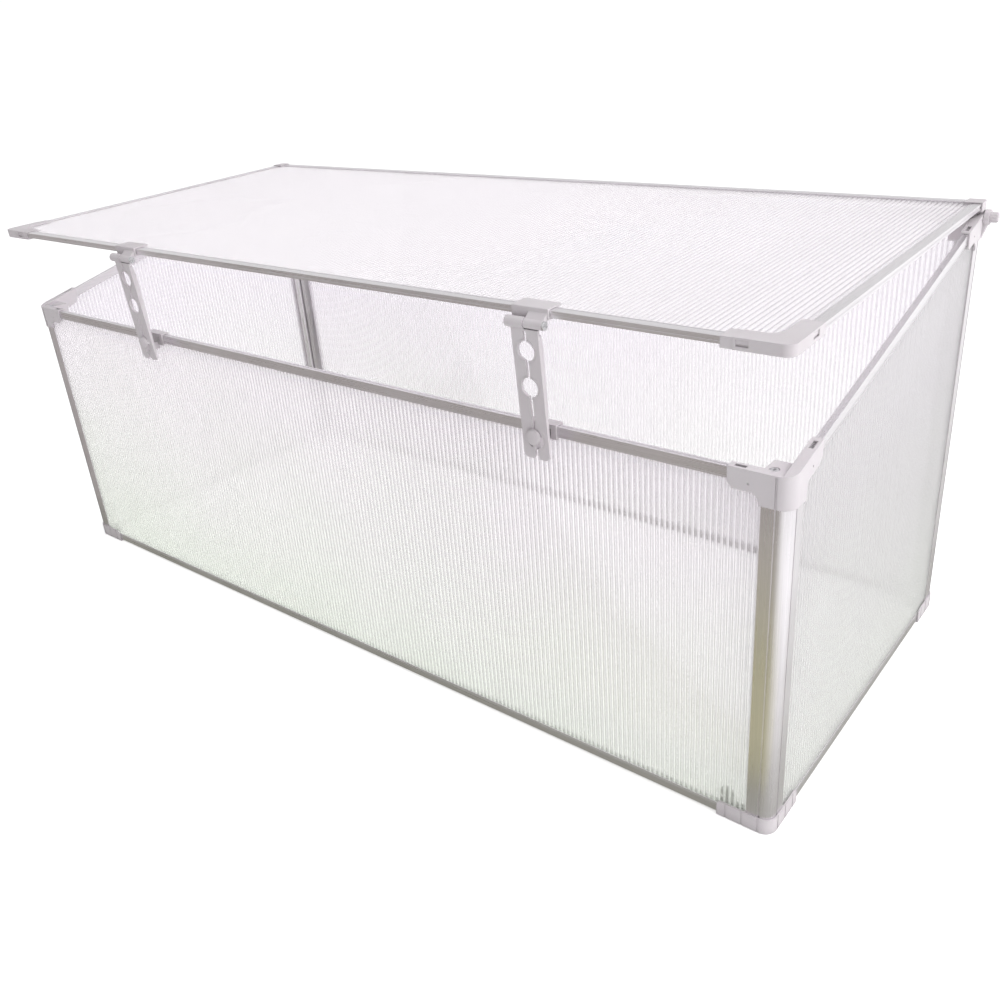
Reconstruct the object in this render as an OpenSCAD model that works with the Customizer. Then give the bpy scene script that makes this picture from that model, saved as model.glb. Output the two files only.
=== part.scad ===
// Cold frame: an aluminium-railed box with twin-wall sheet walls, moulded corner pieces
// and one lid that is hinged at the rear and held up by two keyhole stays.
// Millimetres, +Z up, +X to the right, -Y to the front. The origin is on the ground, in
// the middle of the whole part's plan. The lid is drawn propped on its stays' lowest holes.

/* [Frame] */
// Outside width over the rails
frame_w = 1000; // [800:10:1200]
// Outside depth over the rails
frame_d = 415; // [400:5:430]
// Height of the front top rail
front_h = 322; // [310:1:330]
// Height of the rear top rail
rear_h = 427; // [420:1:440]

/* [Sheets and rails] */
// Thickness of the twin-wall sheets
sheet_t = 3.5; // [3.2:0.1:3.8]
// Height of a rail's legs, from its mouth to the outside of its web
rail_leg = 9; // [8:0.5:10]
// Wall of the rails and posts
rail_wall = 0.9; // [0.8:0.05:1]
// Length of each leg of the corner posts
post_leg = 22; // [20:1:23]
// Radius of the posts' rounded outer corner
post_r = 10; // [8:1:10]

/* [Corner pieces] */
// Length of the corner pieces' arms, from the outer corner
arm_len = 48; // [44:1:54]
// Wall of the moulded corner pieces
skin = 1.5; // [1.5:0.1:2]
// Height of the feet
foot_h = 15; // [13:1:18]

/* [Lid] */
// Rise of the lid from front to rear in the propped position, degrees
lid_tilt = 2.3; // [0:0.1:4]
// Depth of the lid over its rails
lid_d = 426.4; // [424:0.2:428]

/* [Stays] */
// Distance of the left stay from the middle
left_stay_x = -242; // [-330:1:-120]
// Distance of the right stay from the middle
right_stay_x = 294.5; // [120:0.5:330]
// Width of the stay strips
strip_w = 25; // [24:1:28]
// Lean of the stays: how far their lower ends point to the rear, degrees
stay_lean = 3.6; // [2:0.2:3.6]
// Radius of the keyhole openings
hole_r = 8; // [7.2:0.1:8.4]

/* [Hidden] */
$fn = 48;
gap = 0.1;                                   // clearance between parts that are pushed together
far = 80;                                    // a length well past a corner piece
slot_w = sheet_t + 0.2;
rail_t = slot_w + 2 * rail_wall;             // thickness of a rail across its web
slope = atan((rear_h - front_h) / frame_d);  // slope of the side rails
rise = tan(slope);
rail_end = post_leg + 2;                     // where rails stop short of the outer corner
rail_l = frame_w - 2 * rail_end;
side_rail_l = (frame_d - 2 * rail_end) / cos(slope) - rail_leg * rise;
sheet_end = 14;                              // where sheets stop short of the outer corner
sheet_inset = rail_wall + gap;               // outer face of a rail to the face of its sheet
sheet_edge = rail_wall + 1;                  // outside of a rail's web to the edge of its sheet

floor_t = 2;                                 // floor of the feet, under posts and rails
front_post_top = front_h - 4;
groove_at = 10.8;                            // middle of the groove beside the rounded corner
groove_w = 1.6;
groove_d = 0.7;
screw_u = 17;                                // screw channel of a post, along and off its leg
screw_v = 8.6;
screw_boss_r = 4;
screw_r = 1.7;
screw_head_r = 3.4;
screw_head_h = 2;
screw_len = 16;

arm_drop = 15;                               // top of rail to the underside of an arm
skirt_drop = 24;                             // top of rail to the underside of the skirt
block = post_leg + skin;                     // inner edge of the block over a post
fillet_r = 8;
flute_pitch = 14.5;
flute_d = 0.4;
tab_r = 6;                                   // round tab of a foot, behind the sheet
tab_t = 1.3;
outer_r = post_r + skin;
window_at = 39.5;                            // middle of the snap windows, from the corner
window_l = 9;
window_w = 3.4;
snap_l = 7;                                  // punched snap holes in the rail webs
snap_w = 2.4;

axis_in = 4.2;                               // hinge axis to the outside of the rear rail
axis_y = frame_d / 2 - axis_in;
axis_z = rear_h - axis_in;
knuckle_r = 6;                               // rounding of the rear corners about the axis
rear_post_top = axis_z - 7.8;
peg_r = 2.5;
hinge_play = 0.05;
peg_head_r = 4.8;
peg_head_l = 7;
peg_grip = 2;                                // peg beyond the lug, in the inner cheek
boss_r = 7;
boss_l = 5;
lug_w = 8;
lug_at = 2.7;                                // outside of the side rail to the lug
lug_r = 5.4;
lug_play = 0.3;

lid_bottom = 6.6;                            // underside of the lid corners above the axis
lid_rail_z = 8.7;                            // underside of the lid rails above the axis
lid_top = lid_rail_z + rail_t;
lid_cover = 1;                               // corner piece above the top of the lid rails
lid_skin = 1.2;
lid_rear = 2.8;                              // rear face of the lid rails behind the axis
lid_front = lid_rear - lid_d;
lid_arm_w = 15;
lid_outer_r = 8;
lid_inner_r = 11;
lid_arm_len = 50;
lid_collar = 9;                              // set-back end of an arm
lid_window_at = 34;
lid_window_h = 4.6;
lid_cap = 15;                                // side of the small rear corner caps
lid_cap_rail = 10;                           // where rails stop inside those caps
latch_slot = 1.2;
lid_sheet_edge = 4;                          // outside of the lid rails to the sheet's edge

pin_y = lid_front - 7.2;                     // stay pin, in the lid's own frame
pin_z = 4.7;
pin_r = 2;
barrel_r = 4.4;
clip_barrel_r = 3.7;                         // the lid clip's half of the barrel
barrel_in = -17;                             // left end of the barrel, from the strip's middle
barrel_out = 17;
barrel_gap = 0.2;                            // either side of the split in the middle
strip_t = 2;
strip_face = -2.2;                           // front of the strip, from the pin
strip_top = -4;                              // top of the strip beside the other knuckle
strip_corner = 3;
flange_t = 1.8;
flange_edge = [[8, 1.5], [18, 3], [60, 1.9]];  // rear edge: below the pin, behind it
flange_low = -0.25;
rim_w = 1.3;                                 // raised rims of the keyholes
rim_h = 0.5;
slit_top = -5.6;
slit_w = 2.8;
knob_z = front_h - 4;
knob_r = 6.5;
knob_rest = 2.5;                             // hole's middle below the knob's middle
knob_play = 1.2;                             // strip to the back of the knob's head
neck_w = 2;
neck_low = -11;                              // flat neck, from the middle of the knob
neck_high = -3.6;
clip_w = 28;
clip_t = 2;
clip_top_t = 1.5;
clip_shift = -4;                             // middle of the rail clip from the strip's middle
lid_clip_w = 34;
lid_clip_shift = 1;
lid_clip_reach = 15;
lid_lip_t = 1.2;

pin_world = [axis_y + pin_y * cos(lid_tilt) - pin_z * sin(lid_tilt),
             axis_z + pin_y * sin(lid_tilt) + pin_z * cos(lid_tilt)];
knob_at = (pin_world[1] - knob_z) / cos(stay_lean);   // pin to the knob, along the strip
holes_at = [21.5, 51, knob_at + knob_rest];
strip_end = knob_at + 20;
knob_y = pin_world[0] + knob_at * sin(stay_lean) + strip_face - knob_play;

module plastic() to_middle() color([0.87, 0.85, 0.87]) children();
module metal() to_middle() color([0.72, 0.72, 0.70]) children();
module sheet() to_middle() color([0.90, 0.94, 0.91, 0.55]) children();
module steel() to_middle() color([0.60, 0.61, 0.62]) children();

// ---- placing ----

// The modules below measure y from the middle of the frame's rails. This moves them to the
// middle of the whole part, because the stays stand out further than the hinge bosses.
module to_middle()
    translate([0, -(pin_world[0] - barrel_r + axis_y + boss_r) / 2, 0])
        children();

// Corner frame: x runs inwards along the front or rear, y inwards along the side.
module at_corner(sx, sy)
    translate([sx * frame_w / 2, sy * frame_d / 2, 0])
        mirror([sx > 0 ? 1 : 0, 0, 0])
            mirror([0, sy > 0 ? 1 : 0, 0])
                children();

// The lid's own frame: x along the hinge axis, y to the rear along the lid, z its normal.
module in_lid()
    translate([0, axis_y, axis_z])
        rotate([lid_tilt, 0, 0])
            children();

// Corner frame of the lid, in the lid's own frame.
module at_lid_corner(sx, sy)
    translate([sx * frame_w / 2, sy > 0 ? lid_rear : lid_front, 0])
        mirror([sx > 0 ? 1 : 0, 0, 0])
            mirror([0, sy > 0 ? 1 : 0, 0])
                children();

// Draws a profile given as [x, z], from y = y0 over a length l.
module along_y(y0, l)
    translate([0, y0 + l, 0])
        rotate([90, 0, 0])
            linear_extrude(l)
                children();

// Draws a profile given as [y, z], from x = x0 over a length l.
module along_x(x0, l)
    translate([x0, 0, 0])
        rotate([90, 0, 90])
            linear_extrude(l)
                children();

// ---- rails and posts ----

// Channel with its web on top: x across the web, y up, web outside at y = 0.
module rail_profile()
    difference() {
        translate([0, -rail_leg])
            square([rail_t, rail_leg]);
        translate([rail_wall, -rail_leg - 1])
            square([slot_w, rail_leg + 1 - rail_wall]);
        // shallow line along the web
        translate([rail_t * 0.45, -0.3])
            square([1, 1]);
        // shallow line near the mouth of the outer leg
        translate([-1, -rail_leg + 1])
            square([1.25, 0.8]);
    }

// Where the snap holes of a rail are, for windows at this distance from the outer corners.
function snaps(l, at) = [at - rail_end, l - at + rail_end];

// Straight rail along x, web up, outer leg at y = 0, with its snap holes in the web.
module rail(l, holes)
    difference() {
        along_x(0, l)
            rail_profile();
        for (x = holes)
            translate([x - snap_l / 2, (rail_t - snap_w) / 2, -rail_wall - 1])
                cube([snap_l, snap_w, rail_wall + 2]);
    }

module front_rail_at(z)
    translate([-rail_l / 2, -frame_d / 2, z])
        rail(rail_l, snaps(rail_l, window_at));

module rear_rail_at(z)
    rotate([0, 0, 180])
        front_rail_at(z);

module front_top_rail() metal() front_rail_at(front_h);
module rear_top_rail() metal() rear_rail_at(rear_h);

// Sloped side rail; its web follows the slope of the frame.
module side_top_rail(sx)
    metal()
        mirror([sx > 0 ? 0 : 1, 0, 0])
            translate([frame_w / 2, -frame_d / 2, front_h])
                rotate([slope, 0, 0])
                    translate([0, rail_end / cos(slope), 0])
                        rotate([0, 0, 90])
                            rail(side_rail_l, snaps(side_rail_l, window_at));

module left_top_rail() side_top_rail(-1);
module right_top_rail() side_top_rail(1);

module flipped_front_rail()
    translate([-rail_l / 2, -frame_d / 2, floor_t])
        mirror([0, 0, 1])
            rail(rail_l, snaps(rail_l, window_at));

module front_bottom_rail() metal() flipped_front_rail();
module rear_bottom_rail() metal() rotate([0, 0, 180]) flipped_front_rail();

module side_bottom_rail(sx)
    metal()
        mirror([sx > 0 ? 0 : 1, 0, 0])
            translate([frame_w / 2, -frame_d / 2 + rail_end, floor_t])
                mirror([0, 0, 1])
                    rotate([0, 0, 90])
                        rail(frame_d - 2 * rail_end, snaps(frame_d - 2 * rail_end, window_at));

module left_bottom_rail() side_bottom_rail(-1);
module right_bottom_rail() side_bottom_rail(1);

// Rounded outer corner of radius r, filling the plane inwards to size s.
module rounded_corner(r, s) {
    translate([r, 0])
        square([s - r, s]);
    translate([0, r])
        square([s, s - r]);
    translate([r, r])
        circle(r = r, $fn = 96);
}

// Outline of a post, grown outwards by g: two legs, a solid corner and a screw channel.
module post_outline(g) {
    intersection() {
        translate([-g, -g])
            rounded_corner(post_r + g, post_leg + 2 * g);
        union() {
            translate([-g, -g])
                square([post_leg + 2 * g, rail_t + 2 * g]);
            translate([-g, -g])
                square([rail_t + 2 * g, post_leg + 2 * g]);
            translate([-g, -g])
                square(post_r + 2 * g);
        }
    }
    translate([screw_u, screw_v])
        circle(r = screw_boss_r + g);
}

module post_profile()
    difference() {
        post_outline(0);
        for (flip = [0, 1])
            mirror([flip, -flip]) {
                translate([sheet_end - 1.5, rail_wall])
                    square([post_leg, slot_w]);
                translate([groove_at - groove_w / 2, -1])
                    square([groove_w, 1 + groove_d]);
            }
        translate([post_r * 0.6, post_r * 0.6])
            circle(r = post_r * 0.28);
        translate([screw_u, screw_v])
            circle(r = screw_r + hinge_play);
    }

// The rear posts turn their screw channel to the side rail, clear of the hinge.
module post(sx, sy)
    metal()
        at_corner(sx, sy)
            translate([0, 0, floor_t])
                linear_extrude((sy > 0 ? rear_post_top : front_post_top) - floor_t)
                    mirror([sy > 0 ? 1 : 0, sy > 0 ? -1 : 0])
                        post_profile();

module front_left_post() post(-1, -1);
module front_right_post() post(1, -1);
module rear_left_post() post(-1, 1);
module rear_right_post() post(1, 1);

// ---- sheets ----

module front_sheet()
    sheet()
        translate([-frame_w / 2 + sheet_end, -frame_d / 2 + sheet_inset, floor_t + sheet_edge])
            cube([frame_w - 2 * sheet_end, sheet_t, front_h - sheet_edge * 2 - floor_t]);

module rear_sheet()
    sheet()
        translate([-frame_w / 2 + sheet_end, frame_d / 2 - sheet_inset - sheet_t,
                   floor_t + sheet_edge])
            cube([frame_w - 2 * sheet_end, sheet_t, rear_h - sheet_edge * 2 - floor_t]);

// Height of the top edge of the side sheets at a distance y from the front of the frame.
function side_top(y) = front_h + y * rise - sheet_edge / cos(slope);

module side_sheet(sx)
    sheet()
        mirror([sx > 0 ? 0 : 1, 0, 0])
            translate([0, -frame_d / 2, 0])
                along_x(frame_w / 2 - sheet_inset - sheet_t, sheet_t)
                    polygon([[sheet_end, floor_t + sheet_edge],
                             [frame_d - sheet_end, floor_t + sheet_edge],
                             [frame_d - sheet_end, side_top(frame_d - sheet_end)],
                             [sheet_end, side_top(sheet_end)]]);

module left_sheet() side_sheet(-1);
module right_sheet() side_sheet(1);

// ---- corner pieces of the frame ----

// Elevation of one arm and its skirt: x along the arm, y up, top of the rail at y = 0.
// m is the slope of the arm, and lift the wall above the rail.
module arm_elevation(m, lift) {
    up = lift * sqrt(1 + m * m);
    low = arm_drop * sqrt(1 + m * m);
    tip = 4;
    polygon([[-skin, -skin * m + up],
             [arm_len, arm_len * m + up],
             [arm_len, arm_len * m - low + tip],
             [arm_len - tip, (arm_len - tip) * m - low],
             [-skin, -skin * m - low]]);
    // skirt over the post
    polygon([[-skin, -skin * m],
             [block, block * m],
             [block, -skirt_drop + 2],
             [block - 2, -skirt_drop],
             [-skin, -skirt_drop]]);
    // concave fillet between the arm and the skirt
    difference() {
        polygon([[block - 1, block * m - low + 1],
                 [block + fillet_r, (block + fillet_r) * m - low + 1],
                 [block + fillet_r, (block + fillet_r) * m - low],
                 [block, (block + fillet_r) * m - low - fillet_r],
                 [block - 1, (block + fillet_r) * m - low - fillet_r]]);
        translate([block + fillet_r, (block + fillet_r) * m - low - fillet_r + 0.2])
            circle(r = fillet_r);
    }
}

// Body of a frame corner piece before its pockets are cut; m is the side arm's slope.
module corner_solid(m)
    intersection() {
        union() {
            along_y(-skin, rail_t + 2 * skin)
                arm_elevation(0, skin);
            along_x(-skin, rail_t + 2 * skin)
                arm_elevation(m, skin);
            translate([-skin, -skin, -skirt_drop])
                cube([block + skin, block + skin, skirt_drop + skin + min(0, block * m)]);
        }
        translate([-skin, -skin, -far])
            linear_extrude(2 * far)
                rounded_corner(outer_r, far + skin);
    }

// Space for the rail and sheet that enter an arm, and the window over the snap hole.
module arm_pocket(m) {
    tall = far * sqrt(1 + m * m);
    along_y(-gap, rail_t + 2 * gap)
        polygon([[rail_end - gap, (rail_end - gap) * m + gap],
                 [far, far * m + gap],
                 [far, far * m - tall],
                 [rail_end - gap, (rail_end - gap) * m - tall]]);
    along_y(rail_wall, slot_w)
        polygon([[sheet_end - gap, (sheet_end - gap) * m - rail_wall],
                 [far, far * m - rail_wall],
                 [far, far * m - tall],
                 [sheet_end - gap, (sheet_end - gap) * m - tall]]);
    translate([window_at - window_l / 2, (rail_t - window_w) / 2, window_at * m - 1])
        cube([window_l, window_w, far]);
}

module corner_pockets(m, post_top) {
    arm_pocket(0);
    mirror([1, -1, 0])
        arm_pocket(m);
    // the post, with its screw channel beside the front or the side rail
    translate([0, 0, -far])
        linear_extrude(far + post_top + gap)
            mirror([m < 0 ? 1 : 0, m < 0 ? -1 : 0])
                post_outline(gap);
    // groove that carries on the post's own groove
    translate([groove_at - groove_w / 2, -skin - 1, -far])
        cube([groove_w, 1 + groove_d, far]);
    // moulding dimples on the outer faces of the arms
    for (flip = [0, 1])
        mirror([flip, -flip, 0])
            translate([block + fillet_r, -skin - 1, -9 + flip * (block + fillet_r) * m])
                rotate([-90, 0, 0])
                    cylinder(h = 1.6, r = 0.9);
}

// Hole for a corner screw, with its head sunk below the surface at height top.
module screw_hole(top) {
    translate([screw_u, screw_v, -far])
        cylinder(h = 2 * far, r = screw_r + gap);
    translate([screw_u, screw_v, top - screw_head_h - 0.2])
        cylinder(h = far, r = screw_head_r + 0.3);
}

module front_corner(sx)
    plastic()
        at_corner(sx, -1)
            translate([0, 0, front_h])
                difference() {
                    corner_solid(rise);
                    corner_pockets(rise, front_post_top - front_h);
                    screw_hole(skin);
                }

module front_left_corner() front_corner(-1);
module front_right_corner() front_corner(1);

rear_screw_top = (screw_u + screw_head_r) * -rise;    // lowest edge of the sloped top there

// Everything above the closed lid's plane, and outside the rounding about the axis.
module lid_sweep() {
    translate([0, axis_in, -axis_in]) {
        rotate([-slope, 0, 0])
            translate([-far, -far, knuckle_r - 0.2])
                cube([2 * far, 2 * far, far]);
        difference() {
            translate([-far, -far, 0])
                cube([2 * far, far, far]);
            translate([-far - 1, 0, 0])
                rotate([0, 90, 0])
                    cylinder(h = 2 * far + 2, r = knuckle_r, $fn = 96);
        }
    }
}

// Room for the lid's hinge lug to turn from closed to fully open.
module lug_pocket()
    translate([lug_at - lug_play, axis_in, -axis_in]) {
        w = lug_w + 2 * lug_play;
        translate([0, -far, 0])
            cube([w, far + 7.6, far]);
        translate([0, -far, -lug_r - 0.6])
            cube([w, far, far]);
        rotate([0, 90, 0])
            cylinder(h = w, r = lug_r + 0.6);
    }

// Boss outside the side wall that carries the hinge peg, with a gusset below it. It is
// wider only outside the lid's corner piece.
module hinge_boss() {
    step = skin + 0.3;
    translate([-skin - boss_l, axis_in, -axis_in])
        rotate([0, 90, 0]) {
            cylinder(h = skin + boss_l - step, r = boss_r);
            cylinder(h = skin + boss_l + lug_at - lug_play, r = knuckle_r);
        }
    along_y(axis_in - 3, 8)
        polygon([[lug_at, -axis_in], [-skin - boss_l, -axis_in],
                 [-skin - boss_l * 0.7, -axis_in - boss_r],
                 [-skin + 0.5, -skirt_drop], [lug_at, -skirt_drop]]);
}

module rear_corner(sx)
    plastic()
        at_corner(sx, 1)
            translate([0, 0, rear_h])
                difference() {
                    union() {
                        difference() {
                            corner_solid(-rise);
                            lid_sweep();
                        }
                        hinge_boss();
                    }
                    corner_pockets(-rise, rear_post_top - rear_h);
                    mirror([1, -1, 0])
                        screw_hole(rear_screw_top);
                    lug_pocket();
                    translate([-far, axis_in, -axis_in])
                        rotate([0, 90, 0])
                            cylinder(h = far + lug_at + lug_w + peg_grip + 0.3, r = peg_r + hinge_play);
                }

module rear_left_corner() rear_corner(-1);
module rear_right_corner() rear_corner(1);

// ---- feet ----

// Plan of a foot: two arms with a block between them.
module foot_outline()
    intersection() {
        translate([-skin, -skin])
            rounded_corner(outer_r, far + skin);
        union() {
            translate([-skin, -skin])
                square([arm_len + skin, rail_t + 2 * skin]);
            translate([-skin, -skin])
                square([rail_t + 2 * skin, arm_len + skin]);
            translate([-skin, -skin])
                square(block + skin);
        }
    }

module foot(sx, sy)
    plastic()
        at_corner(sx, sy)
            difference() {
                union() {
                    linear_extrude(foot_h)
                        foot_outline();
                    // round tab that stands up behind the sheet
                    along_y(rail_t + skin - tab_t, tab_t) {
                        translate([arm_len - 2 * tab_r, 0])
                            square([2 * tab_r, foot_h + tab_r]);
                        translate([arm_len - tab_r, foot_h + tab_r])
                            circle(r = tab_r);
                    }
                }
                for (flip = [0, 1])
                    mirror([flip, -flip, 0]) {
                        translate([rail_end - gap, -gap, floor_t])
                            cube([far, rail_t + 2 * gap, far]);
                        translate([sheet_end - gap, rail_wall, floor_t])
                            cube([far, slot_w, far]);
                        // upright flutes on the outer faces
                        for (x = [groove_at : flute_pitch : arm_len])
                            translate([x - groove_w / 2, -skin - 1, -1])
                                cube([groove_w, 1 + flute_d, far]);
                        // sloped end of the arm
                        translate([arm_len, -skin - 1, foot_h])
                            rotate([0, 45, 0])
                                cube([4, far, 4], center = true);
                    }
                translate([0, 0, floor_t])
                    linear_extrude(far)
                        mirror([sy > 0 ? 1 : 0, sy > 0 ? -1 : 0])
                            post_outline(gap);
            }

module front_left_foot() foot(-1, -1);
module front_right_foot() foot(1, -1);
module rear_left_foot() foot(-1, 1);
module rear_right_foot() foot(1, 1);

// ---- screws and hinge pegs ----

module screw(top)
    translate([screw_u, screw_v, top])
        difference() {
            union() {
                translate([0, 0, -screw_len])
                    cylinder(h = screw_len, r = screw_r);
                translate([0, 0, -screw_head_h])
                    cylinder(h = screw_head_h, r = screw_head_r);
            }
            for (a = [0, 90])
                rotate([0, 0, a])
                    translate([-screw_head_r * 0.6, -0.35, -1.1])
                        cube([screw_head_r * 1.2, 0.7, 2]);
        }

module corner_screws()
    steel()
        for (sx = [-1, 1]) {
            at_corner(sx, -1)
                screw(front_h + skin - 0.2);
            at_corner(sx, 1)
                mirror([1, -1, 0])
                    screw(rear_h + rear_screw_top - 0.2);
        }

// Peg that is pushed in from the side; the lid's lug turns on its inner end.
module hinge_peg(sx) {
    head_x = frame_w / 2 + skin + boss_l + gap;
    lug_in = frame_w / 2 - lug_at - lug_w - peg_grip;
    plastic()
        mirror([sx > 0 ? 0 : 1, 0, 0])
            translate([0, axis_y, axis_z])
                rotate([0, 90, 0])
                    difference() {
                        union() {
                            translate([0, 0, lug_in])
                                cylinder(h = head_x - lug_in, r = peg_r);
                            translate([0, 0, head_x])
                                cylinder(h = peg_head_l - 1, r = peg_head_r);
                            translate([0, 0, head_x + peg_head_l - 1])
                                cylinder(h = 1, r = peg_head_r - 0.8);
                        }
                        for (a = [0:30:330])
                            rotate([0, 0, a])
                                translate([peg_head_r + 0.25, 0, head_x + 1])
                                    cylinder(h = peg_head_l, r = 0.7, $fn = 24);
                    }
}

module left_hinge_peg() hinge_peg(-1);
module right_hinge_peg() hinge_peg(1);

// ---- rail clips, which carry the knobs of the stays ----

// Saddle over the front top rail, as [y, z] from the rail's top outer edge.
module rail_clip_profile()
    difference() {
        polygon([[-gap - clip_t, -rail_leg - clip_t],
                 [-gap - clip_t, gap + clip_top_t],
                 [rail_t + gap + clip_t, gap + clip_top_t],
                 [rail_t + gap + clip_t, -rail_leg],
                 [rail_t + gap, -rail_leg],
                 [rail_t + gap, gap],
                 [-gap, gap],
                 [-gap, -rail_leg - gap],
                 [rail_wall * 0.8, -rail_leg - gap],
                 [0, -rail_leg - clip_t]]);
        translate([-gap - clip_t - 1, -rail_leg - clip_t - 1])
            square([1.4, 1.6]);
    }

// Flat neck and round, slightly domed head, with its back at y = 0.
module knob(neck_l) {
    translate([-neck_w / 2, -1, neck_low])
        cube([neck_w, neck_l + 1, neck_high - neck_low]);
    rotate([90, 0, 0]) {
        cylinder(h = 2, r = knob_r);
        intersection() {
            translate([0, 0, 3.6 - 20])
                sphere(r = 20, $fn = 96);
            cylinder(h = 4, r = knob_r - 0.4);
        }
    }
}

module rail_clip(x)
    plastic()
        translate([x, -frame_d / 2, front_h]) {
            difference() {
                along_x(clip_shift - clip_w / 2, clip_w)
                    rail_clip_profile();
                // slots that leave the middle as a springy tongue
                for (side = [-1, 1])
                    translate([clip_shift + side * (clip_w / 2 - 6) - 0.7, -clip_t - 1,
                               -rail_leg - clip_t - 1])
                        cube([1.4, clip_t + 2, rail_leg + clip_t - 1]);
            }
            translate([0, knob_y + frame_d / 2, knob_z - front_h])
                knob(-clip_t / 2 - frame_d / 2 - knob_y);
        }

module left_rail_clip() rail_clip(left_stay_x);
module right_rail_clip() rail_clip(right_stay_x);

// ---- lid ----

module front_lid_rail(l, holes)
    translate([-l / 2, lid_front, lid_top])
        mirror([0, 0, 1])
            rotate([90, 0, 0])
                rail(l, holes);

module lid_front_rail()
    metal()
        in_lid()
            front_lid_rail(rail_l, snaps(rail_l, lid_window_at));

module lid_rear_rail()
    metal()
        in_lid()
            translate([0, lid_front + lid_rear, 0])
                mirror([0, 1, 0])
                    front_lid_rail(frame_w - 2 * lid_cap_rail, []);

module lid_side_rail(sx)
    metal()
        in_lid()
            mirror([sx > 0 ? 0 : 1, 0, 0])
                translate([frame_w / 2, lid_front + rail_end, lid_top])
                    mirror([0, 0, 1])
                        rotate([90, 0, 90])
                            rail(lid_d - rail_end - lid_cap_rail, [lid_window_at - rail_end]);

module lid_left_rail() lid_side_rail(-1);
module lid_right_rail() lid_side_rail(1);

module lid_sheet()
    sheet()
        in_lid()
            translate([-frame_w / 2 + lid_sheet_edge, lid_front + lid_sheet_edge,
                       lid_rail_z + sheet_inset])
                cube([frame_w - 2 * lid_sheet_edge, lid_d - 2 * lid_sheet_edge, sheet_t]);

// Plan of a front corner piece of the lid: two arms, with a hollow inner corner.
module lid_corner_outline()
    difference() {
        translate([-lid_skin, -lid_skin])
            rounded_corner(lid_outer_r, lid_arm_len + lid_skin);
        translate([lid_arm_w, lid_arm_w])
            rounded_corner(lid_inner_r, far);
    }

// Space in a lid corner piece for the sheet, and for rails that start at the distance from.
module lid_corner_pockets(from) {
    translate([lid_sheet_edge - gap, lid_sheet_edge - gap, lid_rail_z + rail_wall])
        cube([far, far, slot_w]);
    for (flip = [0, 1])
        mirror([flip, -flip, 0])
            translate([from - gap, -gap, lid_rail_z - gap])
                cube([far, rail_leg + 2 * gap, rail_t + 2 * gap]);
}

module lid_front_corner(sx)
    plastic()
        in_lid()
            at_lid_corner(sx, -1)
                difference() {
                    translate([0, 0, lid_bottom])
                        linear_extrude(lid_top + lid_cover - lid_bottom)
                            lid_corner_outline();
                    lid_corner_pockets(rail_end);
                    for (flip = [0, 1])
                        mirror([flip, -flip, 0]) {
                            // window with a latch that is set back, and a slot under the latch
                            translate([lid_window_at - window_l / 2, -lid_skin - 1,
                                       lid_rail_z + (rail_t - lid_window_h) / 2]) {
                                cube([window_l, 1.7, lid_window_h]);
                                cube([window_l, lid_skin + 1.5, latch_slot]);
                            }
                            // set-back end of the arm, on its top and its outer face
                            translate([lid_arm_len - lid_collar, -lid_skin - 1,
                                       lid_top + lid_cover - 0.4])
                                cube([far, far, far]);
                            translate([lid_arm_len - lid_collar, -lid_skin - 1, 0])
                                cube([far, 1.4, far]);
                        }
                }

module lid_front_left_corner() lid_front_corner(-1);
module lid_front_right_corner() lid_front_corner(1);

// Small cap on a rear corner of the lid, with the lug that turns on the hinge peg.
module lid_rear_corner(sx)
    plastic()
        in_lid()
            at_lid_corner(sx, 1)
                difference() {
                    union() {
                        translate([-lid_skin, -lid_skin, lid_bottom])
                            linear_extrude(lid_top + lid_cover - lid_bottom)
                                rounded_corner(lid_skin * 3, lid_cap + lid_skin);
                        translate([lug_at, lid_rear, 0])
                            rotate([0, 90, 0])
                                cylinder(h = lug_w, r = lug_r);
                        translate([lug_at, 0, 0])
                            cube([lug_w, lid_rear + lug_r, lid_rail_z]);
                    }
                    lid_corner_pockets(lid_cap_rail);
                    translate([0, lid_rear, 0])
                        rotate([0, 90, 0])
                            cylinder(h = far, r = peg_r + hinge_play);
                }

module lid_rear_left_corner() lid_rear_corner(-1);
module lid_rear_right_corner() lid_rear_corner(1);

// ---- stays ----

// Saddle over the lid's front rail, as [y, z] in the lid's own frame.
module lid_clip_profile() {
    front = lid_front - gap;
    top = lid_top + gap;
    low = lid_rail_z - gap;
    polygon([[front - clip_t, low - lid_lip_t],
             [front - clip_t, top + clip_top_t - 0.5],
             [front - clip_t + 0.5, top + clip_top_t],
             [front + lid_clip_reach, top + clip_top_t],
             [front + lid_clip_reach, top],
             [front, top],
             [front, low],
             [front + rail_leg / 2, low],
             [front + rail_leg / 2, low - lid_lip_t]]);
}

module lid_clip(x)
    plastic()
        in_lid()
            translate([x, 0, 0])
                difference() {
                    union() {
                        along_x(lid_clip_shift - lid_clip_w / 2, lid_clip_w)
                            lid_clip_profile();
                        along_x(barrel_gap, barrel_out - barrel_gap) {
                            translate([pin_y, pin_z])
                                circle(r = clip_barrel_r);
                            polygon([[pin_y, pin_z + clip_barrel_r],
                                     [lid_front - clip_t, lid_top - 1.5],
                                     [lid_front - clip_t, lid_rail_z - lid_lip_t],
                                     [pin_y + clip_barrel_r, pin_z + 1],
                                     [pin_y, pin_z]]);
                        }
                    }
                    translate([-far, pin_y, pin_z])
                        rotate([0, 90, 0])
                            cylinder(h = 2 * far, r = pin_r + hinge_play);
                }

module left_lid_clip() lid_clip(left_stay_x);
module right_lid_clip() lid_clip(right_stay_x);

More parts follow.
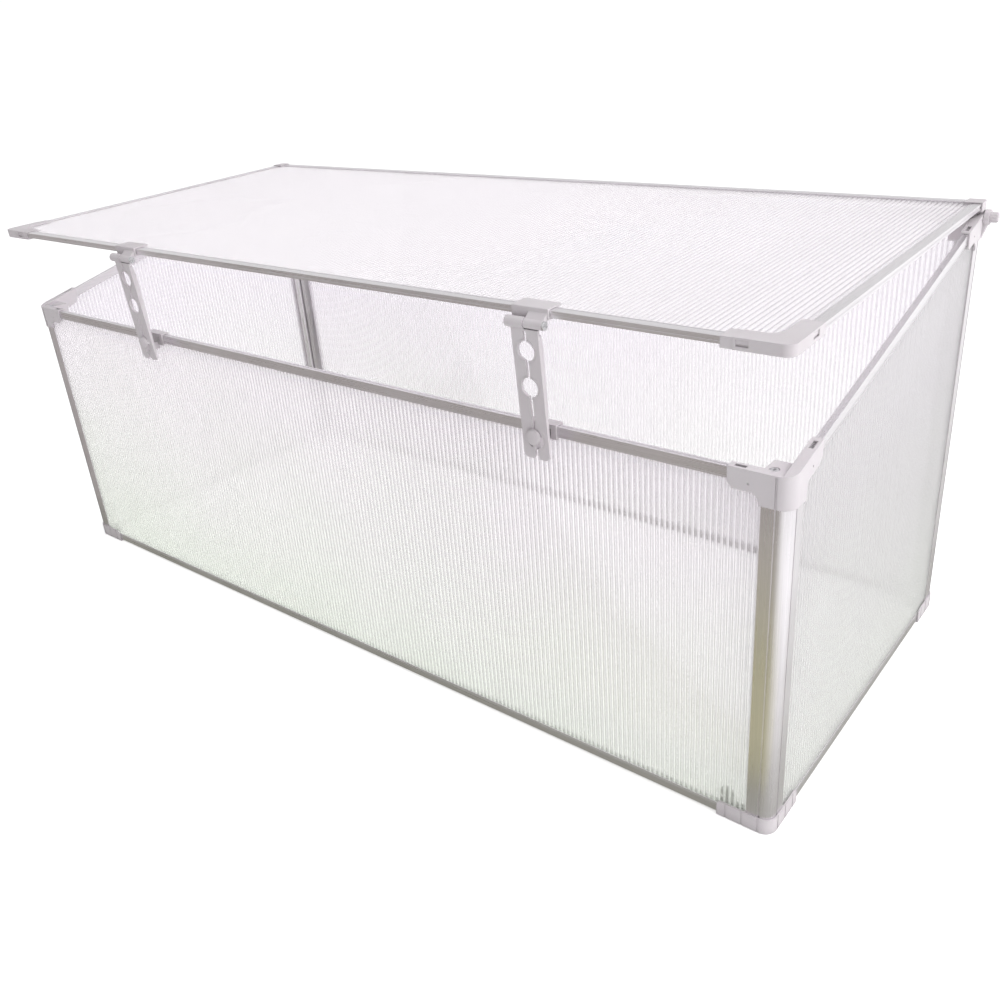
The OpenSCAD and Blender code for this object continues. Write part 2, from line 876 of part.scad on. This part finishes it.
module stay_pin(x)
    steel()
        in_lid()
            translate([x, pin_y, pin_z])
                rotate([0, 90, 0])
                    difference() {
                        union() {
                            translate([0, 0, barrel_in])
                                cylinder(h = barrel_out - barrel_in + 1, r = pin_r);
                            translate([0, 0, barrel_out + gap])
                                cylinder(h = 1.4, r = 3.4);
                        }
                        translate([-0.4, -far, barrel_out + 0.9])
                            cube([0.8, 2 * far, far]);
                    }

module left_stay_pin() stay_pin(left_stay_x);
module right_stay_pin() stay_pin(right_stay_x);

// Front view of a strip, as [x, z] from the pin: keyholes joined by a slit, forked end.
module strip_elevation()
    difference() {
        polygon([[-strip_w / 2, 0], [-barrel_gap, 0],
                 [-barrel_gap, strip_top], [strip_w / 2, strip_top],
                 [strip_w / 2, -strip_end + strip_corner],
                 [strip_w / 2 - strip_corner, -strip_end],
                 [-strip_w / 2 + strip_corner, -strip_end],
                 [-strip_w / 2, -strip_end + strip_corner]]);
        for (s = holes_at)
            translate([0, -s])
                circle(r = hole_r, $fn = 64);
        translate([-slit_w / 2, -strip_end - 1])
            square([slit_w, strip_end + 1 + slit_top]);
        // flared mouth of the fork
        translate([0, -strip_end - 1])
            circle(r = 3.5);
    }

// Raised rims round the keyholes, broken by the slit.
module strip_rims()
    difference() {
        for (s = holes_at)
            translate([0, -s])
                circle(r = hole_r + rim_w, $fn = 64);
        for (s = holes_at)
            translate([0, -s])
                circle(r = hole_r, $fn = 64);
        translate([-slit_w / 2, -strip_end])
            square([slit_w, strip_end]);
    }

module stay_strip(x)
    plastic()
        translate([x, pin_world[0], pin_world[1]])
            rotate([stay_lean, 0, 0])
                difference() {
                    union() {
                        along_y(strip_face, strip_t)
                            strip_elevation();
                        along_y(strip_face - rim_h, rim_h + 0.1)
                            strip_rims();
                        translate([barrel_in, 0, 0])
                            rotate([0, 90, 0])
                                cylinder(h = -barrel_in - barrel_gap, r = barrel_r);
                        for (edge = [-strip_w / 2, strip_w / 2 - flange_t])
                            along_x(edge, flange_t)
                                polygon(concat([for (p = flange_edge) [p[1], -p[0]]],
                                               [[flange_low, -strip_end + strip_corner],
                                                [strip_face + 1, -strip_end + strip_corner],
                                                [strip_face + 1, -flange_edge[0][0]]]));
                    }
                    translate([-far, 0, 0])
                        rotate([0, 90, 0])
                            cylinder(h = 2 * far, r = pin_r + hinge_play);
                }

module left_stay_strip() stay_strip(left_stay_x);
module right_stay_strip() stay_strip(right_stay_x);

// ---- what is drawn ----

front_top_rail();
rear_top_rail();
left_top_rail();
right_top_rail();
front_bottom_rail();
rear_bottom_rail();
left_bottom_rail();
right_bottom_rail();
front_left_post();
front_right_post();
rear_left_post();
rear_right_post();
front_sheet();
rear_sheet();
left_sheet();
right_sheet();
front_left_corner();
front_right_corner();
rear_left_corner();
rear_right_corner();
front_left_foot();
front_right_foot();
rear_left_foot();
rear_right_foot();
corner_screws();
left_hinge_peg();
right_hinge_peg();
left_rail_clip();
right_rail_clip();
lid_front_rail();
lid_rear_rail();
lid_left_rail();
lid_right_rail();
lid_sheet();
lid_front_left_corner();
lid_front_right_corner();
lid_rear_left_corner();
lid_rear_right_corner();
left_lid_clip();
right_lid_clip();
left_stay_pin();
right_stay_pin();
left_stay_strip();
right_stay_strip();
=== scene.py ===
"""Looks of the cold frame: real twin-wall sheets and the materials of every CAD part.

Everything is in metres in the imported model's own frame. The CAD parts keep their shapes;
the five plain sheet slabs are replaced by hollow ribbed sheets of the same outside size.
"""

import math

import bpy
from mathutils import Matrix, Vector


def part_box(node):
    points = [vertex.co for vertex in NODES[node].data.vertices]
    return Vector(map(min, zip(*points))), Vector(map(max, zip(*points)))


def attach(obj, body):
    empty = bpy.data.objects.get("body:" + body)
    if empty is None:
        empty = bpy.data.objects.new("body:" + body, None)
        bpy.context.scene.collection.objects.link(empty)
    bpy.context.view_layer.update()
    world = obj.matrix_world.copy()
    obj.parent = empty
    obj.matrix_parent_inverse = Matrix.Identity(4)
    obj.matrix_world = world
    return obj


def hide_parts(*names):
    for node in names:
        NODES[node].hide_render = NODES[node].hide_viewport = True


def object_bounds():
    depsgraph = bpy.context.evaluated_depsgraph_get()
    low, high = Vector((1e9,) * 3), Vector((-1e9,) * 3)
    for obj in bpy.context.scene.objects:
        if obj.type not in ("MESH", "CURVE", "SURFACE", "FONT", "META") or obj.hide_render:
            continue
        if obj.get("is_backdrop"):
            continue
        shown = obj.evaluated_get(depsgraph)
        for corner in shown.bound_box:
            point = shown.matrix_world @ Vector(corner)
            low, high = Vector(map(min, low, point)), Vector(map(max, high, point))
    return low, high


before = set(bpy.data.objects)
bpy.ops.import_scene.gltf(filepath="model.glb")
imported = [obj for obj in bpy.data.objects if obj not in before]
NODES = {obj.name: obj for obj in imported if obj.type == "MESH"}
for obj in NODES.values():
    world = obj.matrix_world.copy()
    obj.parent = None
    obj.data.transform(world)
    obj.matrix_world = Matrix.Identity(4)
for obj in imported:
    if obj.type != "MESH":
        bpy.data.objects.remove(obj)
CAD_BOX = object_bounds()
MM = 0.001

# ---- twin-wall sheet ----
RIB_PITCH = 4.8 * MM
RIB_T = 0.35 * MM
SKIN_T = 0.4 * MM
CAST_TOP = 0.3              # height at which the sheets' ground cast, a painted tint of the ground's light at their foot, has gone
WELD_CORE = 0.1             # half widths of a weld line and of its soft edge, in rib pitches
WELD_EDGE = 0.2
WELD_MILK = (0.85, 2.1)     # milkiness between the weld lines and on them
WELD_DARK = (0.5, 0.48, 0.5, 1.0)
SHEET_IOR = 1.4
SHEET_SHINE = 0.15          # share of a smooth sheet's reflection that the real one has
SHEET_SHADOW = (0.965, 0.97, 0.965, 1.0)

# ---- camera ----
VIEW_AZIMUTH = 38.87        # degrees round from the front, to the right
VIEW_ELEVATION = 25.56
VIEW_ROLL = -3.72
EYE = Vector((0.7288, -0.7596, 0.6126))
LENS = 34.82                # millimetres, on a 36 mm sensor
SHIFT = (-0.0318, -0.0182)

# ---- studio ----
FLOOR_SIZE = 16.0
FLOOR_GAP = 0.4 * MM        # under the feet, so that the two faces don't flicker
FLOOR_LIFT = 0.5            # added to the floor as the camera sees it, to keep it white
FLOOR_FAR = (0.36, 0.33, 0.31, 1.0)      # painted reflections: the floor's colours for glossy rays alone, which the metal and the sheets mirror
FLOOR_NEAR = (0.45, 0.43, 0.22, 1.0)
FLOOR_UNDER = (0.25, 0.25, 0.20, 1.0)
FLOOR_RIGHT = (1.2, 1.2, 1.2, 1.0)
BACKDROP = (1.03, 1.03, 1.03, 1.0)
SKY_LEVEL = 0.34            # light from all round, and what comes more from above and right
SKY_ABOVE = 0.55
SKY_RIGHT = 0.6


# ---------------------------------------------------------------- node helpers


class Nodes:
    """The node tree of a material or a world, with short calls to add and link nodes."""

    def __init__(self, owner):
        self.owner = owner
        owner.use_nodes = True
        self.tree = owner.node_tree
        self.tree.nodes.clear()
        is_world = isinstance(owner, bpy.types.World)
        self.out = self.add("OutputWorld" if is_world else "OutputMaterial")

    def feed(self, socket, value):
        """Sets an input to a value, or links it if the value is another node's output."""
        if isinstance(value, bpy.types.NodeSocket):
            self.tree.links.new(value, socket)
        else:
            socket.default_value = value

    def add(self, kind, **values):
        """Adds a shader node. A value sets an input by name, or a property if there is none."""
        node = self.tree.nodes.new("ShaderNode" + kind)
        for name, value in values.items():
            target = node.inputs.get(name.replace("_", " "))
            if target is None:
                setattr(node, name, value)
            else:
                self.feed(target, value)
        return node

    def math(self, operation, a, b=0.0):
        node = self.add("Math", operation=operation)
        self.feed(node.inputs[0], a)
        self.feed(node.inputs[1], b)
        return node.outputs[0]

    def mix_colour(self, fac, a, b):
        node = self.add("Mix", data_type="RGBA")
        for index, value in ((0, fac), (6, a), (7, b)):
            self.feed(node.inputs[index], value)
        return node.outputs[2]

    def mix_shader(self, fac, a, b):
        node = self.add("MixShader")
        for index, value in enumerate((fac, a, b)):
            self.feed(node.inputs[index], value)
        return node.outputs[0]

    def add_shader(self, a, b):
        node = self.add("AddShader")
        self.feed(node.inputs[0], a)
        self.feed(node.inputs[1], b)
        return node.outputs[0]

    def glow(self, colour, strength):
        return self.add("Emission", Color=colour, Strength=strength).outputs[0]

    def noise(self, scale, detail=2.0, stretch=(1.0, 1.0, 1.0)):
        """Noise over the object's own coordinates, its pattern stretched along each axis."""
        at = self.add("TexCoord").outputs["Object"]
        mapping = self.add("Mapping", Vector=at, Scale=stretch)
        noise = self.add("TexNoise", Vector=mapping.outputs[0], Scale=scale, Detail=detail)
        return noise.outputs["Fac"]

    def ramp(self, value, low, high, out_low=0.0, out_high=1.0):
        """Maps low to high onto out_low to out_high, and keeps within them."""
        node = self.add("MapRange")
        for index, number in enumerate((value, low, high, out_low, out_high)):
            self.feed(node.inputs[index], number)
        return node.outputs[0]

    def bump(self, height, strength, distance, normal=None):
        node = self.add("Bump", Height=height, Strength=strength, Distance=distance)
        if normal is not None:
            self.feed(node.inputs["Normal"], normal)
        return node.outputs[0]

    def soft_edges(self, radius):
        return self.add("Bevel", samples=4, Radius=radius).outputs[0]

    def finish(self, shader):
        self.tree.links.new(shader, self.out.inputs["Surface"])
        return self.owner


def material(name):
    return Nodes(bpy.data.materials.new(name))


def rgb(r, g, b):
    return (r, g, b, 1.0)


# ---------------------------------------------------------------- materials


def moulded_plastic():
    """Pale grey plastic with a faint lilac cast, a fine spark-eroded grain and soft edges, and
    painted shade that darkens its crevices and narrow gaps.
    """
    n = material("moulded_plastic")
    cloud = n.noise(14.0, 3.0)
    colour = n.mix_colour(n.ramp(cloud, 0.3, 0.7), rgb(0.67, 0.62, 0.65), rgb(0.76, 0.72, 0.75))
    # painted shade: the colour turns dark grey where ambient occlusion finds other surfaces
    # close by, in crevices, slots and narrow gaps
    corner = n.add("AmbientOcclusion", samples=4, Distance=0.02).outputs["AO"]
    colour = n.mix_colour(n.ramp(corner, 0.1, 0.5), rgb(0.28, 0.26, 0.27), colour)
    grain = n.noise(1900.0, 2.0)
    normal = n.bump(grain, 0.12, 0.0003, n.soft_edges(0.0006))
    flow = n.noise(60.0, 2.0, (1.0, 1.0, 3.0))
    shader = n.add(
        "BsdfPrincipled",
        Base_Color=colour,
        Roughness=n.ramp(flow, 0.3, 0.7, 0.36, 0.5),
        Normal=normal,
        Subsurface_Weight=0.12,
        Subsurface_Radius=(0.004, 0.003, 0.004),
    )
    return n.finish(shader.outputs[0])


def aluminium(name, along):
    """Extruded aluminium: die lines run along one axis (0, 1 or 2), with a dull oxide bloom."""
    n = material(name)
    stretch = [1.0, 1.0, 1.0]
    stretch[along] = 0.01
    lines = n.noise(1400.0, 3.0, stretch)
    bloom = n.noise(9.0, 4.0)
    colour = n.mix_colour(n.ramp(bloom, 0.35, 0.7), rgb(0.81, 0.78, 0.81), rgb(0.90, 0.87, 0.90))
    colour = n.mix_colour(n.ramp(lines, 0.35, 0.65, 0.0, 0.3), colour, rgb(0.62, 0.61, 0.61))
    rough = n.math("ADD", n.ramp(lines, 0.3, 0.7, 0.22, 0.34), n.ramp(bloom, 0.3, 0.8, 0.0, 0.1))
    shader = n.add(
        "BsdfPrincipled",
        Base_Color=colour,
        Metallic=0.82,
        Roughness=rough,
        Normal=n.bump(lines, 0.15, 0.0002, n.soft_edges(0.0003)),
    )
    return n.finish(shader.outputs[0])


def zinc_steel():
    """Plated steel of the screws and stay pins, with fine turning marks."""
    n = material("zinc_steel")
    marks = n.noise(900.0, 2.0)
    shader = n.add(
        "BsdfPrincipled",
        Base_Color=n.mix_colour(marks, rgb(0.62, 0.63, 0.65), rgb(0.82, 0.82, 0.82)),
        Metallic=1.0,
        Roughness=n.ramp(marks, 0.3, 0.7, 0.22, 0.4),
        Normal=n.bump(marks, 0.2, 0.0002, n.soft_edges(0.0003)),
    )
    return n.finish(shader.outputs[0])


def twin_wall(name, cast, milk, glow, ribs=None):
    """Milky polycarbonate. cast is its colour at the ground and from CAST_TOP upwards; the
    change with height is painted light, the tint of the ground's light on the sheet's foot.

    milk is the share of light that a surface scatters, and glow is painted light: an emission of
    the sheet's colour that stands in for the light scattered many times inside the sheet. ribs,
    for a skin, is (axis, start, pitch, weld): where the ribs are welded to it and how much the
    weld lines are darkened.
    """
    n = material(name)
    at = n.add("SeparateXYZ", Vector=n.add("TexCoord").outputs["Object"])
    haze = n.noise(7.0, 3.0)
    # painted light: the colour goes from the ground's tint at the sheet's foot to its own colour
    # at CAST_TOP
    height = n.ramp(at.outputs["Z"], 0.0, CAST_TOP)
    level = n.math("ADD", height, n.ramp(haze, 0.3, 0.7, -0.12, 0.12))
    colour = n.mix_colour(level, cast[0], cast[1])
    share = n.math("MULTIPLY", milk, n.ramp(n.noise(3.0, 2.0), 0.3, 0.7, 0.9, 1.1))
    if ribs:
        axis, start, pitch, weld = ribs
        cell = n.math("DIVIDE", n.math("SUBTRACT", at.outputs["XYZ"[axis]], start), pitch)
        phase = n.math("FRACT", n.math("ADD", cell, 0.5))
        off = n.math("ABSOLUTE", n.math("SUBTRACT", phase, 0.5))
        line = n.ramp(off, WELD_CORE, WELD_EDGE, 1.0, 0.0)
        share = n.math("MULTIPLY", share, n.ramp(line, 0.0, 1.0, *WELD_MILK))
        colour = n.mix_colour(n.math("MULTIPLY", line, weld), colour, WELD_DARK)
    tint = n.mix_colour(0.2, rgb(1.0, 1.0, 1.0), colour)
    clear = n.add("BsdfTransparent", Color=tint).outputs[0]
    cloudy = n.mix_shader(
        0.5,
        n.add("BsdfDiffuse", Color=colour).outputs[0],
        n.add("BsdfTranslucent", Color=colour).outputs[0],
    )
    # painted light: glow adds an emission of the sheet's colour, though the sheet is no lamp
    body = n.mix_shader(share, clear, n.add_shader(cloudy, n.glow(colour, glow)))
    wave = n.noise(55.0, 2.0, (1.0, 1.0, 0.15))
    normal = n.bump(wave, 0.1, 0.001)
    shine = n.add("BsdfGlossy", Color=rgb(1, 1, 1), Roughness=0.16, Normal=normal)
    edge = n.add("Fresnel", IOR=SHEET_IOR).outputs[0]
    surface = n.mix_shader(n.math("MULTIPLY", edge, SHEET_SHINE), body, shine.outputs[0])
    shadow = n.add("BsdfTransparent", Color=SHEET_SHADOW).outputs[0]
    path = n.add("LightPath").outputs["Is Shadow Ray"]
    return n.finish(n.mix_shader(path, surface, shadow))


# ---------------------------------------------------------------- sheets


def hollow_mesh(name, place, widths, ends, cells):
    """A closed mesh of two skins joined by ribs, and the numbers of its rib faces.

    place(u, v, w) gives a point from the distance u across the ribs, v along them and w
    through the sheet. widths is (u0, u1, thickness) and ends(u) gives v at both ends.
    """
    u0, u1, thick = widths
    pitch = (u1 - u0) / cells
    inner_low, inner_high = SKIN_T, thick - SKIN_T
    verts = []
    faces = []
    rib_faces = []

    def column(u, w):
        """Both end points of the line at (u, w); returns the index of the first."""
        v0, v1 = ends(u)
        verts.append(place(u, v0, w))
        verts.append(place(u, v1, w))
        return len(verts) - 2

    ribs = [[column(u0 + i * pitch, w) for w in (0.0, thick)] for i in range(cells + 1)]
    for i in range(cells):
        left = u0 + i * pitch + RIB_T / 2
        right = left + pitch - RIB_T
        outer = [ribs[i][0], ribs[i + 1][0], ribs[i + 1][1], ribs[i][1]]
        hollow = [
            column(left, inner_low),
            column(right, inner_low),
            column(right, inner_high),
            column(left, inner_high),
        ]
        for k in (0, 2):
            a, b = outer[k], outer[k + 1]
            faces.append((a, b, b + 1, a + 1))
        for k in range(4):
            a, b = hollow[k], hollow[(k + 1) % 4]
            if k in (1, 3):
                rib_faces.append(len(faces))
            faces.append((b, a, a + 1, b + 1))
            c, d = outer[k], outer[(k + 1) % 4]
            faces.append((d, c, a, b))
            faces.append((c + 1, d + 1, b + 1, a + 1))
    for a, b in (reversed(ribs[0]), ribs[-1]):
        faces.append((a, b, b + 1, a + 1))
    mesh = bpy.data.meshes.new(name)
    mesh.from_pydata(verts, [], faces)
    mesh.update()
    return mesh, rib_faces


def hollow_sheet(name, node, body, place, widths, ends, axis, recipe):
    """Replaces a CAD slab by a twin-wall sheet on the given body.

    place, widths and ends are those of hollow_mesh. axis is the one that u runs along, and
    recipe holds (cast, milk, glow, weld) of the skins and (cast, milk, glow) of the ribs.
    """
    u0, u1, _ = widths
    cells = round((u1 - u0) / RIB_PITCH)
    mesh, rib_faces = hollow_mesh(name, place, widths, ends, cells)
    (skin_cast, skin_milk, skin_glow, weld), (rib_cast, rib_milk, rib_glow) = recipe
    lines = (axis, u0, (u1 - u0) / cells, weld)
    mesh.materials.append(twin_wall(name + "_skin", skin_cast, skin_milk, skin_glow, lines))
    mesh.materials.append(twin_wall(name + "_rib", rib_cast, rib_milk, rib_glow))
    for index in rib_faces:
        mesh.polygons[index].material_index = 1
    sheet = bpy.data.objects.new(name, mesh)
    bpy.context.scene.collection.objects.link(sheet)
    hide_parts(node)
    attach(sheet, body)
    return sheet


def upright_sheet(name, node, across, recipe):
    """A wall sheet with upright ribs. across is the axis its width runs along: 0 or 1."""
    low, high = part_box(node)
    points = [v.co for v in NODES[node].data.vertices]
    through = 1 - across

    def top_at(end):
        return max(p.z for p in points if abs(p[across] - end) < MM)

    u0, u1 = low[across], high[across]
    top0, top1 = top_at(u0), top_at(u1)

    def place(u, v, w):
        point = Vector((0.0, 0.0, v))
        point[across] = u
        point[through] = low[through] + w
        return point

    def ends(u):
        return low[2], top0 + (top1 - top0) * (u - u0) / (u1 - u0)

    widths = (u0, u1, high[through] - low[through])
    return hollow_sheet(name, node, "base", place, widths, ends, across, recipe)


def lid_sheet(name, node, recipe):
    """The lid's sheet, with its ribs running from front to rear."""
    low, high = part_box(node)
    points = sorted({(round(v.co.y, 6), round(v.co.z, 6)) for v in NODES[node].data.vertices})
    front = sorted(points[:2], key=lambda p: p[1])
    rear = sorted(points[-2:], key=lambda p: p[1])
    corner = Vector((0.0, *front[0]))
    along = Vector((0.0, *rear[0])) - corner
    through = Vector((0.0, *front[1])) - corner

    def place(u, v, w):
        return Vector((u, 0.0, 0.0)) + corner + v * along.normalized() + w * through.normalized()

    def ends(u):
        return 0.0, along.length

    widths = (low[0], high[0], through.length)
    return hollow_sheet(name, node, "lid", place, widths, ends, 0, recipe)


# ---------------------------------------------------------------- dressing


def dress_cad_parts():
    """Gives every CAD part that stays in view its material."""
    plastic = moulded_plastic()
    steel = zinc_steel()
    metal = [aluminium("aluminium_" + "xyz"[axis], axis) for axis in range(3)]
    for name, obj in NODES.items():
        if name.endswith("post"):
            looks = metal[2]
        elif name.endswith("rail"):
            looks = metal[0 if "front" in name or "rear" in name else 1]
        elif name == "corner_screws" or name.endswith("stay_pin"):
            looks = steel
        else:
            looks = plastic
        obj.data.materials.clear()
        obj.data.materials.append(looks)


def build_sheets():
    """Recipes are ((cast at the ground, cast above), milk, glow) of skins and of ribs, one per
    sheet: copies of one polycarbonate, lighter or darker as light falls on each sheet, which is
    painted light and shade.

    A skin's recipe ends with the strength of its weld lines.
    """
    # painted light and shade: the four recipes are copies of one polycarbonate, made lighter or
    # darker, with more or less glow, sheet by sheet for how light falls on each
    front = (
        ((rgb(0.77, 0.785, 0.75), rgb(0.80, 0.77, 0.80)), 0.205, 0.09, 0.3),
        ((rgb(0.88, 0.895, 0.87), rgb(0.93, 0.92, 0.93)), 0.6, 0.38),
    )
    inner = (
        ((rgb(0.86, 0.86, 0.85), rgb(0.87, 0.84, 0.88)), 0.18, 0.16, 0.3),
        ((rgb(0.88, 0.88, 0.87), rgb(0.90, 0.87, 0.91)), 0.35, 0.30),
    )
    right = (
        ((rgb(0.88, 0.895, 0.87), rgb(0.80, 0.79, 0.80)), 0.28, 0.19, 0.85),
        ((rgb(0.86, 0.875, 0.85), rgb(0.78, 0.77, 0.78)), 0.1, 0.2),
    )
    roof = (
        ((rgb(0.79, 0.76, 0.79), rgb(0.79, 0.76, 0.79)), 0.17, 0.05, 0.3),
        ((rgb(0.91, 0.90, 0.91), rgb(0.91, 0.90, 0.91)), 0.65, 0.3),
    )
    upright_sheet("front_twin_wall", "front_sheet", 0, front)
    upright_sheet("rear_twin_wall", "rear_sheet", 0, inner)
    upright_sheet("left_twin_wall", "left_sheet", 1, inner)
    upright_sheet("right_twin_wall", "right_sheet", 1, right)
    lid_sheet("lid_twin_wall", "lid_sheet", roof)


# ---------------------------------------------------------------- studio


def floor():
    """A white floor. What glossy rays see of it is painted reflection: darker to the front left,
    as a studio's open side is, olive near the frame's front, dark under it and bright to the
    right.
    """
    bpy.ops.mesh.primitive_plane_add(size=FLOOR_SIZE, location=(0.0, 0.0, -FLOOR_GAP))
    plane = bpy.context.object
    plane.name = "floor"
    n = material("pale_floor")
    at = n.add("SeparateXYZ", Vector=n.add("NewGeometry").outputs["Position"])
    grain = n.ramp(n.noise(40.0, 2.0), 0.3, 0.7, 0.985, 1.0)
    white = n.mix_colour(grain, rgb(0.9, 0.9, 0.9), rgb(0.96, 0.96, 0.96))
    pale = n.add("BsdfDiffuse", Color=white)
    lifted = n.add_shader(pale.outputs[0], n.glow(rgb(1.0, 1.0, 1.0), FLOOR_LIFT))
    x, y = at.outputs["X"], at.outputs["Y"]
    # painted reflections: glossy rays see the floor in these colours instead of its white
    near = n.math("MULTIPLY", n.ramp(y, -0.65, -0.4), n.ramp(x, 0.0, 0.3))
    mirrored = n.mix_colour(near, FLOOR_FAR, FLOOR_NEAR)
    mirrored = n.mix_colour(n.ramp(y, -0.27, -0.24), mirrored, FLOOR_UNDER)
    mirrored = n.mix_colour(n.ramp(x, 0.45, 0.8), mirrored, FLOOR_RIGHT)
    path = n.add("LightPath")
    seen = n.mix_shader(path.outputs["Is Camera Ray"], pale.outputs[0], lifted)
    seen = n.mix_shader(path.outputs["Is Glossy Ray"], seen, n.glow(mirrored, 1.0))
    plane.data.materials.append(n.finish(seen))
    plane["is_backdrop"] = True


def sky():
    """White surroundings that light the frame from above and from the right most."""
    world = bpy.data.worlds.new("studio")
    n = Nodes(world)
    way = n.add("SeparateXYZ", Vector=n.add("TexCoord").outputs["Generated"])
    up = n.math("MAXIMUM", way.outputs["Z"], 0.0)
    above = n.math("MULTIPLY", up, SKY_ABOVE)
    lit = n.math("ADD", above, n.math("MULTIPLY", way.outputs["X"], SKY_RIGHT))
    lit = n.math("ADD", lit, SKY_LEVEL)
    mirrored = n.ramp(up, 0.05, 0.6, 0.95, 0.66)
    path = n.add("LightPath")
    strength = n.mix_colour(path.outputs["Is Glossy Ray"], lit, mirrored)
    strength = n.mix_colour(path.outputs["Is Camera Ray"], strength, BACKDROP)
    n.finish(n.add("Background", Color=strength).outputs[0])
    bpy.context.scene.world = world


def soft_box(name, place, aim, size, power):
    data = bpy.data.lights.new(name, "AREA")
    data.shape = "DISK"
    data.size = size
    data.energy = power
    light = bpy.data.objects.new(name, data)
    light.location = place
    light.rotation_euler = (Vector(aim) - Vector(place)).to_track_quat("-Z", "Y").to_euler()
    bpy.context.scene.collection.objects.link(light)


def camera():
    a, e, r = (math.radians(v) for v in (VIEW_AZIMUTH, VIEW_ELEVATION, VIEW_ROLL))
    back = Vector((math.sin(a) * math.cos(e), -math.cos(a) * math.cos(e), math.sin(e)))
    right = Vector((math.cos(a), math.sin(a), 0.0))
    up = back.cross(right)
    right, up = (
        right * math.cos(r) + up * math.sin(r),
        up * math.cos(r) - right * math.sin(r),
    )
    data = bpy.data.cameras.new("camera")
    data.lens = LENS
    data.sensor_width = 36.0
    data.shift_x, data.shift_y = SHIFT
    data.clip_start = 0.05
    eye = bpy.data.objects.new("camera", data)
    axes = Matrix((right, up, back)).transposed().to_4x4()
    eye.matrix_world = Matrix.Translation(EYE) @ axes
    bpy.context.scene.collection.objects.link(eye)
    bpy.context.scene.camera = eye


def studio():
    floor()
    sky()
    soft_box("key", (2.3, 0.2, 2.0), (0.0, 0.0, 0.2), 1.8, 26.0)
    scene = bpy.context.scene
    scene.view_settings.view_transform = "Standard"
    scene.cycles.transparent_max_bounces = 48
    scene.cycles.max_bounces = 7
    scene.cycles.diffuse_bounces = 3
    camera()


dress_cad_parts()
build_sheets()
studio()

boxes = [[list(corner) for corner in box] for box in (CAD_BOX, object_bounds())]
